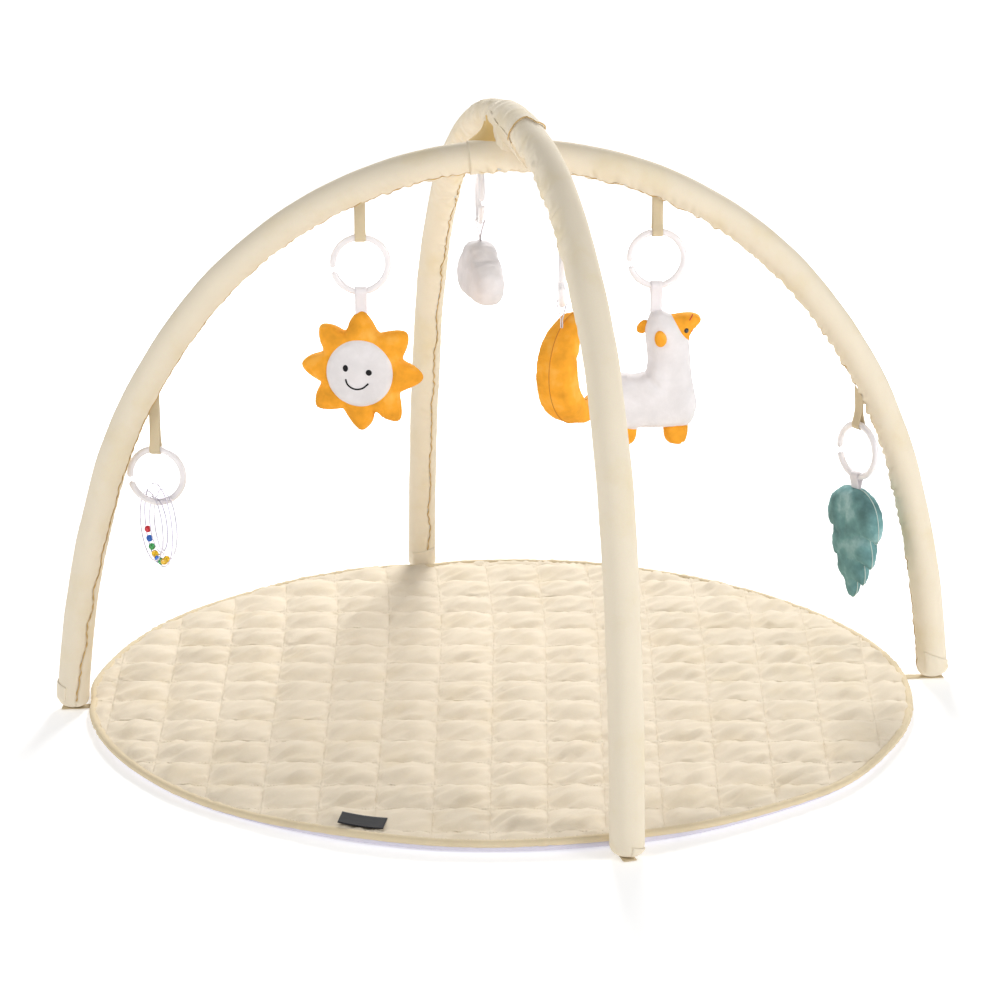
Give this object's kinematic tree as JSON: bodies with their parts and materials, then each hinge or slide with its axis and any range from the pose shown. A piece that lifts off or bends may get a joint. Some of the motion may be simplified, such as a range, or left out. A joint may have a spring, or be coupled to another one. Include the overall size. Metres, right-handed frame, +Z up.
{
  "type": "activity play gym",
  "caption": "Round quilted play mat under two crossed padded arches, with hanging plush toys and a clear bead rattle on C-shaped rings.",
  "frame": {"origin": "centre of the mat on the floor", "axes": "+X from the left foot to the right foot of the lower arch, -Y the front, +Z up"},
  "size_m": [0.935, 0.9118, 0.6183],
  "materials": {
    "cream_cotton": "plain-woven cotton, matt",
    "beige_tape": "folded bias tape, matt",
    "white_tape": "smooth satin ribbon",
    "white_backing": "brushed white underside",
    "wadding": "polyester wadding",
    "black_woven": "woven label, blank",
    "foam": null,
    "glass_fibre_rod": "glass-fibre pole",
    "ferrule_alloy": "drawn tube",
    "black_rubber": "moulded",
    "ring_plastic": "moulded, satin gloss",
    "clear_plastic": "clear moulded plastic, listed as glass for its transparency",
    "bead_plastic": "mixed colours",
    "white_plush": "short-pile plush",
    "orange_plush": "short-pile plush",
    "teal_plush": "short-pile plush",
    "black_thread": "embroidery"
  },
  "bodies": {
    "mat": {"mat_backing": "white_backing", "mat_padding": "wadding", "mat_top_cover": "cream_cotton", "mat_binding": "beige_tape", "mat_label": "black_woven", "mat_tab_left": "beige_tape", "mat_tab_right": "beige_tape", "mat_tab_front": "beige_tape", "mat_tab_back": "beige_tape"},
    "lower_arch": {"lower_sleeve": "cream_cotton", "lower_foam": "foam", "lower_rod_left": "glass_fibre_rod", "lower_rod_right": "glass_fibre_rod", "lower_ferrule": "ferrule_alloy", "lower_rod_caps": "black_rubber", "lower_foot_ends": "cream_cotton", "lower_foot_flaps": "cream_cotton", "loop_rattle": "beige_tape", "loop_sun": "beige_tape", "loop_llama": "beige_tape", "loop_leaf": "beige_tape", "crossing_patch": "cream_cotton"},
    "upper_arch": {"upper_sleeve": "cream_cotton", "upper_foam": "foam", "upper_rod_front": "glass_fibre_rod", "upper_rod_back": "glass_fibre_rod", "upper_ferrule": "ferrule_alloy", "upper_rod_caps": "black_rubber", "upper_foot_ends": "cream_cotton", "upper_foot_flaps": "cream_cotton", "loop_cloud": "white_tape", "loop_moon": "white_tape", "crossing_band": "cream_cotton"},
    "sun_ring": {"ring_sun": "ring_plastic"},
    "sun_toy": {"sun_ribbon": "white_tape", "sun_body": "orange_plush", "sun_face": "white_plush", "sun_features": "black_thread"},
    "rattle_ring": {"ring_rattle": "ring_plastic"},
    "rattle_toy": {"rattle_shell_front": "clear_plastic", "rattle_shell_back": "clear_plastic"},
    "rattle_bead_set": {"rattle_beads": "bead_plastic"},
    "llama_ring": {"ring_llama": "ring_plastic"},
    "llama_toy": {"llama_ribbon": "white_tape", "llama_body": "white_plush", "llama_muzzle": "orange_plush", "llama_ears": "orange_plush", "llama_feet": "orange_plush", "llama_eyes": "black_thread"},
    "leaf_ring": {"ring_leaf": "ring_plastic"},
    "leaf_toy": {"leaf_ribbon": "white_tape", "leaf_body": "teal_plush"},
    "cloud_ring": {"ring_cloud": "ring_plastic"},
    "cloud_toy": {"cloud_ribbon": "white_tape", "cloud_body": "white_plush"},
    "moon_ring": {"ring_moon": "ring_plastic"},
    "moon_toy": {"moon_ribbon": "white_tape", "moon_body": "orange_plush"}
  },
  "joints": [
    {"name": "arches_lift_off", "type": "slide", "parent": "mat", "child": "lower_arch", "axis": [0, 0, 1], "range_m": [0, 0.15]},
    {"name": "arch_scissor", "type": "hinge", "parent": "lower_arch", "child": "upper_arch", "pos_m": [0, 0, 0.58], "axis": [0, 0, 1], "range_deg": [-15, 15]},
    {"name": "rattle_ring_swing", "type": "hinge", "parent": "lower_arch", "child": "rattle_ring", "pos_m": [-0.3585, 0, 0.2731], "axis": [0.9659, -0.2588, 0], "range_deg": [-4, 30]},
    {"name": "rattle_swing", "type": "hinge", "parent": "rattle_ring", "child": "rattle_toy", "pos_m": [-0.3585, 0, 0.2179], "axis": [0.9659, -0.2588, 0], "range_deg": [-25, 25]},
    {"name": "sun_ring_swing", "type": "hinge", "parent": "lower_arch", "child": "sun_ring", "pos_m": [-0.1495, 0, 0.4856], "axis": [1, 0, 0], "range_deg": [-30, 30]},
    {"name": "sun_swing", "type": "hinge", "parent": "sun_ring", "child": "sun_toy", "pos_m": [-0.1495, 0, 0.4304], "axis": [1, 0, 0], "range_deg": [-25, 25]},
    {"name": "llama_ring_swing", "type": "hinge", "parent": "lower_arch", "child": "llama_ring", "pos_m": [0.1495, 0, 0.4856], "axis": [1, 0, 0], "range_deg": [-30, 30]},
    {"name": "llama_swing", "type": "hinge", "parent": "llama_ring", "child": "llama_toy", "pos_m": [0.1495, 0, 0.4304], "axis": [1, 0, 0], "range_deg": [-25, 25]},
    {"name": "leaf_ring_swing", "type": "hinge", "parent": "lower_arch", "child": "leaf_ring", "pos_m": [0.363, 0, 0.2796], "axis": [0.4695, -0.8829, 0], "range_deg": [-30, 3]},
    {"name": "leaf_swing", "type": "hinge", "parent": "leaf_ring", "child": "leaf_toy", "pos_m": [0.363, 0, 0.2244], "axis": [0.4695, -0.8829, 0], "range_deg": [-25, 3]},
    {"name": "cloud_ring_swing", "type": "hinge", "parent": "upper_arch", "child": "cloud_ring", "pos_m": [-0.01742, 0.12883, 0.5326], "axis": [-0.0227, -0.9997, 0], "range_deg": [-30, 30]},
    {"name": "cloud_swing", "type": "hinge", "parent": "cloud_ring", "child": "cloud_toy", "pos_m": [-0.01742, 0.12883, 0.4774], "axis": [-0.0227, -0.9997, 0], "range_deg": [-25, 25]},
    {"name": "moon_ring_swing", "type": "hinge", "parent": "upper_arch", "child": "moon_ring", "pos_m": [0.0276, -0.20414, 0.5116], "axis": [-0.1097, -0.994, 0], "range_deg": [-20, 30]},
    {"name": "moon_swing", "type": "hinge", "parent": "moon_ring", "child": "moon_toy", "pos_m": [0.0276, -0.20414, 0.4564], "axis": [-0.1097, -0.994, 0], "range_deg": [-15, 25]},
    {"name": "rattle_beads_roll", "type": "hinge", "parent": "rattle_toy", "child": "rattle_bead_set", "pos_m": [-0.3585, 0, 0.1933], "axis": [0.9397, 0.342, 0], "continuous": true}
  ]
}
